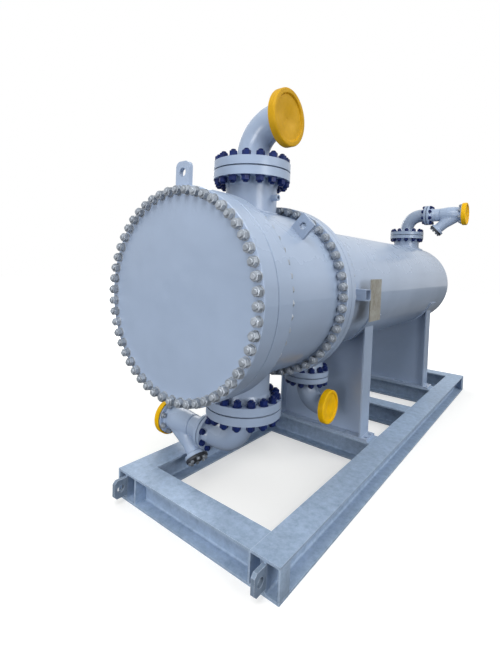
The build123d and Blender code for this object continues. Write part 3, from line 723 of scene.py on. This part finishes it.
class EXCHANGER_OT_fit_nozzle_studs(bpy.types.Operator):
    """Blue coated studs and nuts of the four nozzle flange pairs"""

    bl_idname = "exchanger.fit_nozzle_studs"
    bl_label = "Fit the nozzle studs"

    def execute(self, context):
        sizes = context.scene.exchanger_studs
        draw = random.Random(16)
        channel = sizes.channel_count, sizes.channel_flats, sizes.channel_flange, sizes.channel_turn
        shell = sizes.shell_count, sizes.shell_flats, sizes.shell_flange, sizes.shell_turn
        for name, out, back, (total, flats, flange, turn) in (
            ("channel_top", UP, DOWN, channel),
            ("channel_bottom", DOWN, UP, channel),
            ("shell_bottom", DOWN, UP, shell),
            ("shell_top", UP, DOWN, shell),
        ):
            y, radius, low, high = nozzle_place(name + "_nozzle")
            spool_low, spool_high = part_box(name + "_elbow")
            nozzle_face, spool_face = (high, spool_low.z) if out is UP else (low, spool_high.z)
            nut = nut_and_stud(flats)
            circle = radius - NOZZLE_INSET * flats
            placed = []
            for z, way in (
                (nozzle_face - out.z * flange, back),
                (spool_face + out.z * flange, out),
            ):
                for p in circle_places((0, y, z), way, circle, total, pi / total + way.z * turn):
                    placed.append((nut, facing(p, way, draw.uniform(0, tau))))
            assemble(name + "_studs", placed, finish("stud_coating"))
        return {"FINISHED"}


class EXCHANGER_OT_cast_strainers(bpy.types.Operator):
    """The two Y strainers as smooth castings with machined flanges"""

    bl_idname = "exchanger.cast_strainers"
    bl_label = "Cast the strainers"

    def execute(self, context):
        sizes = context.scene.exchanger_strainers
        for name in ("channel", "shell"):
            start, run, fork, leg = strainer_lines(name, sizes)
            body = cast_together(self.body(sizes, start, run, fork, leg), VOXEL, RELAXING)
            placed = [
                (body, IN_PLACE),
                (lathe(self.inlet(sizes), PIPE_STEPS), facing(start, run)),
                (lathe(self.outlet(sizes), PIPE_STEPS), facing(start, run)),
                (lathe(self.leg_end(sizes), PIPE_STEPS), facing(fork, leg)),
            ]
            node = name + "_strainer"
            assemble(node + "_casting", placed, finish("cast_paint"), (node,))
        return {"FINISHED"}

    def body(self, sizes, start, run, fork, leg):
        """The belly, the leg and the web that sweeps from the outlet into the leg."""
        proud, shoulder, before, after, tail = 0.004, 0.03, 0.02, 0.04, 0.02
        first, last = sizes.barrel_end - proud / 2, sizes.length - sizes.flange - proud
        middle = (first + last) / 2
        belly, barrel = sizes.belly_radius, sizes.barrel_radius + proud
        swell = [
            (0, first), (barrel, first), (barrel + proud / 2, first + shoulder), (belly, middle - before),
            (belly, middle + after), (barrel + sizes.ease, last - tail), (barrel, last), (0, last),
        ]
        overlap = 0.01
        neck = sizes.leg_length - sizes.leg_flange + overlap
        stem = [(sizes.leg_radius + flare, distance) for flare, distance in (*LEG_FLARE, (0, neck))]
        stem = [(0, 0), *stem, (0, neck)]
        web_back, web_drop, web_reach = 0.085, 0.028, 0.2
        web_root, web_waist, web_tip = 0.074, 0.068, 0.06
        below = leg + run * cos(sizes.leg_angle)
        web_start = start + run * (sizes.length - web_back) + below * web_drop
        web = fork + leg * web_reach - web_start
        far = web.length
        gusset = [(0, 0), (web_root, 0), (web_waist, far / 2), (web_tip, far), (0, far)]
        return [
            (lathe(swell, PIPE_STEPS), facing(start, run)),
            (lathe(stem, PIPE_STEPS), facing(fork, leg)),
            (lathe(gusset, PIPE_STEPS), facing(web_start, web)),
        ]

    def inlet(self, sizes):
        """Section of the inlet's flange, hub and plain barrel, down to the seam's groove."""
        lip, groove, hub_length = 0.002, 0.006, 0.044
        ease, rim, face, hub = sizes.ease, sizes.flange_radius, sizes.face_radius, sizes.hub_radius
        barrel, end, back = sizes.barrel_radius, sizes.barrel_end, sizes.flange
        hub_end = back + hub_length
        return [
            (0, 0), (face, 0), (face, ease), (rim - ease, ease), (rim, 2 * ease), (rim, back - ease),
            (rim - ease, back), (hub + ease, back), (hub, back + ease),
            (barrel + lip, hub_end - 4 * lip), (barrel, hub_end),
            (barrel, end - groove - lip / 2), (barrel - lip, end - groove + lip / 2),
            (barrel - groove, end - groove + lip), (barrel - groove, end + groove), (0, end + groove),
        ]

    def outlet(self, sizes):
        """Section of the outlet's hub and flange."""
        lip, hub_length = 0.002, 0.03
        ease, rim, face, hub = sizes.ease, sizes.flange_radius, sizes.face_radius, sizes.hub_radius
        barrel, end = sizes.barrel_radius, sizes.length
        back = end - sizes.flange
        return [
            (0, back - hub_length), (barrel, back - hub_length), (barrel + lip, back - 0.6 * hub_length),
            (hub - ease, back - ease), (hub, back), (rim - ease, back), (rim, back + ease),
            (rim, end - 2 * ease), (rim - ease, end - ease), (face, end - ease), (face, end), (0, end),
        ]

    def leg_end(self, sizes):
        """Section of the leg's machined end and flange."""
        lip, hub_length = 0.001, 0.02
        ease, rim, end, radius = sizes.ease, sizes.leg_flange_radius, sizes.leg_length, sizes.leg_radius
        back = end - sizes.leg_flange
        return [
            (0, back - hub_length), (radius - lip, back - hub_length), (radius + lip, back - 2 * ease),
            (radius + 2 * ease, back), (rim - ease, back), (rim, back + ease), (rim, end - ease),
            (rim - ease, end), (0, end),
        ]


class EXCHANGER_OT_fit_pipe_studs(bpy.types.Operator):
    """Studs between the elbows and strainers, and the bolts of the strainers' outlets and leg covers"""

    bl_idname = "exchanger.fit_pipe_studs"
    bl_label = "Fit the pipe studs"

    def execute(self, context):
        studs = context.scene.exchanger_studs
        sizes = context.scene.exchanger_strainers
        draw = random.Random(8)
        circle = sizes.flange_radius - PIPE_INSET * studs.pipe_flats
        leg_circle = sizes.leg_flange_radius - LEG_INSET * studs.leg_flats
        nut = nut_and_stud(studs.pipe_flats)
        bolt = nut_and_stud(studs.leg_flats, stud_reach=0.0)
        total = studs.pipe_count
        coated, bare = [], []
        for name in ("channel", "shell"):
            start, run, fork, leg = strainer_lines(name, sizes)
            elbow_back = start - run * (studs.pipe_gasket + studs.pipe_flange)
            outlet_back = start + run * (sizes.length - sizes.flange)
            blank = fork + leg * (sizes.leg_length + sizes.leg_cover)
            rows = [(coated, nut, elbow_back, -run, circle)]
            if name == "shell":
                rows.append((coated, nut, start + run * sizes.flange, run, circle))
            rows.append((bare, nut, outlet_back, -run, circle))
            rows.append((bare, bolt, blank, leg, leg_circle))
            for placed, shape, centre, way, radius in rows:
                for p in circle_places(centre, way, radius, total, pi / total):
                    placed.append((shape, facing(p, way, draw.uniform(0, tau))))
        assemble("pipe_studs", coated, finish("stud_coating"))
        assemble("strainer_bolts", bare, finish("nut_zinc"))
        return {"FINISHED"}


class EXCHANGER_OT_mould_caps(bpy.types.Operator):
    """The four yellow flange caps with rounded rims and dished faces"""

    bl_idname = "exchanger.mould_caps"
    bl_label = "Mould the flange caps"

    def execute(self, context):
        sizes = context.scene.exchanger_caps
        for name, run, plastic in (
            ("channel_top", RIGHT, "ochre_plastic"),
            ("channel_bottom", LEFT, "yellow_plastic"),
            ("shell_bottom", RIGHT, "yellow_plastic"),
            ("shell_top", RIGHT, "yellow_plastic"),
        ):
            node = name + "_protector"
            low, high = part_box(node)
            centre = (low + high) / 2
            mouth = low.x if run is RIGHT else high.x
            shape = lathe(self.profile(sizes, (high.y - low.y) / 2), CAP_STEPS)
            placed = [(shape, facing((mouth + run.x * sizes.skirt, centre.y, centre.z), run))]
            assemble(name + "_cap", placed, finish(plastic), (node,))
        return {"FINISHED"}

    def profile(self, sizes, radius):
        """Section of a cap from the flange's face over the skirt and the rim down into the dish."""
        rim_round, lip_round, foot, gate = 0.010, 0.006, 0.010, 0.003
        wall, skirt, rim = sizes.wall, sizes.skirt, sizes.rim
        inner, edge = radius - wall, radius - sizes.lip * radius
        points = [(0, 0), (inner, 0), (inner, -skirt)]
        points += [(inner + 0.3 * wall, -skirt), (radius, 0.5 * wall - skirt)]
        points += quarter(radius - rim_round, rim - rim_round, rim_round, 0)
        points += quarter(edge + lip_round, rim - lip_round, lip_round, pi / 2)
        floor = rim - sizes.recess
        points += [(edge - 0.4 * foot, floor + 0.1 * foot), (edge - foot, floor), (edge - 2 * foot, floor)]
        bowl, low = edge - 2.4 * foot, floor - sizes.dish
        for k in range(1, DISH_STEPS - 1):
            part = 1 - k / DISH_STEPS
            points.append((bowl * part, floor - sizes.dish * (0.5 + 0.5 * cos(pi * part))))
        return points + [(sizes.dimple, low), (0.7 * sizes.dimple, low - gate * 2 / 3), (0, low - gate)]


class EXCHANGER_OT_lay_welds(bpy.types.Operator):
    """Weld beads at the nozzle necks, pads and girth rings"""

    bl_idname = "exchanger.lay_welds"
    bl_label = "Lay the welds"

    def execute(self, context):
        sizes = context.scene.exchanger_welds
        barrel, shell = half_width("channel_barrel"), half_width("shell")
        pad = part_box("shell_nozzle_pads")[1].z - AXIS_HEIGHT
        necks = []
        for name, side, wall, neck in (
            ("channel_top", 1, barrel, sizes.channel_neck),
            ("channel_bottom", -1, barrel, sizes.channel_neck),
            ("shell_bottom", -1, pad, sizes.shell_bottom_neck),
            ("shell_top", 1, pad, sizes.shell_top_neck),
        ):
            y = nozzle_place(name + "_nozzle")[0]
            outlines = [(neck, wall, sizes.neck)]
            if name.startswith("shell"):
                outlines.append((neck + sizes.pad_width, shell, sizes.pad))
            for radius, below, size in outlines:
                line = self.saddle_line(radius, below, y, side, sizes.pass_length)
                necks.append((bead(line, size, seed=len(necks)), IN_PLACE))
        assemble("neck_welds", necks, finish("vessel_paint"))
        rings = []
        for seed, y, radius in (
            (20, FRONT_FLANGE_BACK, barrel),
            (21, REAR_FLANGE_FACE, barrel),
            (22, TUBESHEET_BACK, shell),
        ):
            line = self.ring_line(radius, y, sizes.pass_length)
            rings.append((bead(line, sizes.girth, seed), IN_PLACE))
        assemble("girth_welds", rings, finish("vessel_paint"))
        return {"FINISHED"}

    def ring_line(self, radius, y, pitch):
        """A ring round the vessel."""
        total = int(tau * radius / pitch)
        turns = [tau * k / total for k in range(total)]
        return [Vector((radius * cos(turn), y, AXIS_HEIGHT + radius * sin(turn))) for turn in turns]

    def saddle_line(self, neck, wall, y, side, pitch):
        """Where a neck meets the round wall, above the axis on side 1 and below it on side -1."""
        total = int(tau * neck / pitch)
        line = []
        for k in range(total):
            turn = tau * k / total
            x = neck * cos(turn)
            rise = side * sqrt(wall * wall - x * x)
            line.append(Vector((x, y + neck * sin(turn), AXIS_HEIGHT + rise)))
        return line


class EXCHANGER_OT_weld_corner_plates(bpy.types.Operator):
    """Plates that close the outer hollow of the side beams at their ends"""

    bl_idname = "exchanger.weld_corner_plates"
    bl_label = "Weld the corner plates"

    def execute(self, context):
        sizes = context.scene.exchanger_plates
        placed = []
        for name, out in (("skid_beam_left", -1), ("skid_beam_right", 1)):
            low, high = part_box(name)
            tip = high.x if out > 0 else low.x
            web = (low.x + high.x) / 2 + out * sizes.beam_web / 2
            inside = tip - out * sizes.thickness
            bottom, top = low.z + sizes.beam_flange, high.z - sizes.beam_flange
            for corner, opposite in (
                ((inside, low.y, bottom), (tip, low.y + sizes.reach, top)),
                ((inside, high.y, bottom), (tip, high.y - sizes.reach, top)),
                ((web, high.y - sizes.thickness, bottom), (inside, high.y, top)),
            ):
                placed.append((plate(corner, opposite, sizes.ease), IN_PLACE))
        assemble("corner_plates", placed, finish("galvanised_steel"))
        return {"FINISHED"}


class EXCHANGER_OT_set_stage(bpy.types.Operator):
    """Floor, world, lamps and camera"""

    bl_idname = "exchanger.set_stage"
    bl_label = "Set the stage"

    def execute(self, context):
        scene = context.scene
        settings = scene.exchanger_stage
        scene.view_settings.view_transform = "Standard"
        self.lay_floor(scene, settings)
        self.light_world(scene, settings)
        for name, place, target, size, power in (
            ("key_lamp", (1.0, -5.6, 7.4), (0, -0.6, 1.2), 5.0, settings.key),
            ("side_lamp", (6.2, 1.6, 6.4), (0.2, 0.6, 1.4), 4.0, settings.side),
            ("right_lamp", (6.0, -2.6, 2.4), (0.3, -0.6, 0.9), 3.0, settings.right),
            ("back_lamp", (-5.6, 4.4, 4.6), (-0.2, 0.6, 1.2), 4.0, settings.back),
            ("low_lamp", (0.2, -7.6, 0.9), (0, -1.8, 0.9), 3.0, settings.low),
        ):
            self.hang_lamp(scene, name, place, target, size, power)
        self.set_camera(scene, settings)
        return {"FINISHED"}

    def hang_lamp(self, scene, name, place, target, size, power):
        """A round soft lamp that faces a target."""
        lamp = bpy.data.lights.new(name, "AREA")
        lamp.shape = "DISK"
        lamp.size = size
        lamp.energy = power
        holder = bpy.data.objects.new(name, lamp)
        holder.location = place
        holder.rotation_euler = (Vector(target) - holder.location).to_track_quat("-Z", "Y").to_euler()
        scene.collection.objects.link(holder)

    def show(self, tree, kind, lights, seen, mirrored):
        """Outputs a shader that lights the object, and one that the eye sees, partly in reflections too."""
        path = add_node(tree, "LightPath", {})
        eye = add_math(tree, "MAXIMUM", path["Is Camera Ray"], path["Is Transmission Ray"])
        eye = add_math(tree, "MAXIMUM", eye, add_math(tree, "MULTIPLY", path["Is Glossy Ray"], mirrored))
        mix = add_node(tree, "MixShader", {0: eye, 1: lights, 2: seen})["Shader"]
        add_node(tree, "Output" + kind, {"Surface": mix})

    def lay_floor(self, scene, settings):
        """A pale floor that keeps the object's shadow and turns white further off."""
        half, near, far, near_glow, mirrored = 30.0, 3.0, 6.5, 0.40, 0.12
        mesh = bpy.data.meshes.new("floor")
        corners = [(-half, -half, 0), (half, -half, 0), (half, half, 0), (-half, half, 0)]
        mesh.from_pydata(corners, [], [(0, 1, 2, 3)])
        floor = bpy.data.objects.new("floor", mesh)
        scene.collection.objects.link(floor)
        material = bpy.data.materials.new("floor")
        material.use_nodes = True
        mesh.materials.append(material)
        tree = material.node_tree
        tree.nodes.clear()
        plain = add_node(tree, "BsdfDiffuse", {"Color": (settings.floor,) * 3 + (1.0,)})["BSDF"]
        pale = add_node(tree, "BsdfDiffuse", {"Color": (*settings.floor_seen, 1.0)})["BSDF"]
        away = add_node(tree, "VectorMath", {0: object_coordinates(tree)}, operation="LENGTH")["Value"]
        rise = add_range(tree, away, near, far, near_glow, 1.0)
        glow = add_node(tree, "Emission", {"Strength": rise})["Emission"]
        seen = add_node(tree, "AddShader", {0: pale, 1: glow})["Shader"]
        self.show(tree, "Material", plain, seen, mirrored)

    def light_world(self, scene, settings):
        """A soft sky that lights from above, behind a white background."""
        overhead, mirrored = 0.75, 0.8
        world = bpy.data.worlds.new("soft_sky")
        scene.world = world
        world.use_nodes = True
        tree = world.node_tree
        tree.nodes.clear()
        way = add_node(tree, "TexCoord", {})["Generated"]
        height = add_node(tree, "SeparateXYZ", {"Vector": way})["Z"]
        ramp = add_node(tree, "ValToRGB", {"Fac": height})["Color"]
        low, high = ramp.node.color_ramp.elements
        low.color = (*settings.sky_low, 1.0)
        high.color = (*settings.sky_high, 1.0)
        high.position = overhead
        sky = add_node(tree, "Background", {"Color": ramp, "Strength": settings.sky})["Background"]
        white = add_node(tree, "Background", {"Color": (1.0, 1.0, 1.0, 1.0)})["Background"]
        self.show(tree, "World", sky, white, mirrored)

    def set_camera(self, scene, settings):
        """The camera at the photograph's viewpoint."""
        frame_shift, view_depth = -0.0835, 200.0
        data = bpy.data.cameras.new("camera")
        data.lens = settings.lens
        data.shift_y = frame_shift
        data.clip_end = view_depth
        camera = bpy.data.objects.new("camera", data)
        yaw, pitch, roll = settings.turn
        ahead = Vector((-sin(yaw) * cos(pitch), cos(yaw) * cos(pitch), sin(pitch)))
        level = Vector((cos(yaw), sin(yaw), 0))
        upright = level.cross(ahead)
        across = level * cos(roll) + upright * sin(roll)
        over = upright * cos(roll) - level * sin(roll)
        turn = Matrix((across, over, -ahead)).transposed().to_4x4()
        camera.matrix_world = Matrix.Translation(settings.camera) @ turn
        scene.collection.objects.link(camera)
        scene.camera = camera


class EXCHANGER_PT_pieces(bpy.types.Panel):
    """Lists the steps that dress the exchanger"""

    bl_idname = "EXCHANGER_PT_pieces"
    bl_label = "Exchanger"
    bl_space_type = "VIEW_3D"
    bl_region_type = "UI"
    bl_category = "Exchanger"

    def draw(self, context):
        for step in OPERATORS:
            self.layout.operator(step.bl_idname)
        for name, group in SETTINGS.items():
            box = self.layout.box()
            for label in group.__annotations__:
                box.prop(getattr(context.scene, name), label)


SETTINGS = {
    "exchanger_studs": StudSizes,
    "exchanger_strainers": StrainerSizes,
    "exchanger_caps": CapSizes,
    "exchanger_welds": WeldSizes,
    "exchanger_plates": PlateSizes,
    "exchanger_finishes": Finishes,
    "exchanger_stage": StageSettings,
}
OPERATORS = (
    EXCHANGER_OT_finish_metalwork,
    EXCHANGER_OT_fit_girth_studs,
    EXCHANGER_OT_fit_nozzle_studs,
    EXCHANGER_OT_cast_strainers,
    EXCHANGER_OT_fit_pipe_studs,
    EXCHANGER_OT_mould_caps,
    EXCHANGER_OT_lay_welds,
    EXCHANGER_OT_weld_corner_plates,
    EXCHANGER_OT_set_stage,
)
CLASSES = (*SETTINGS.values(), *OPERATORS, EXCHANGER_PT_pieces)


def register():
    for item in CLASSES:
        bpy.utils.register_class(item)
    for name, group in SETTINGS.items():
        setattr(bpy.types.Scene, name, PointerProperty(type=group))


def unregister():
    for name in SETTINGS:
        delattr(bpy.types.Scene, name)
    for item in reversed(CLASSES):
        bpy.utils.unregister_class(item)


def main():
    register()
    for step in OPERATORS:
        family, name = step.bl_idname.split(".")
        getattr(getattr(bpy.ops, family), name)()


if __name__ == "__main__":
    main()
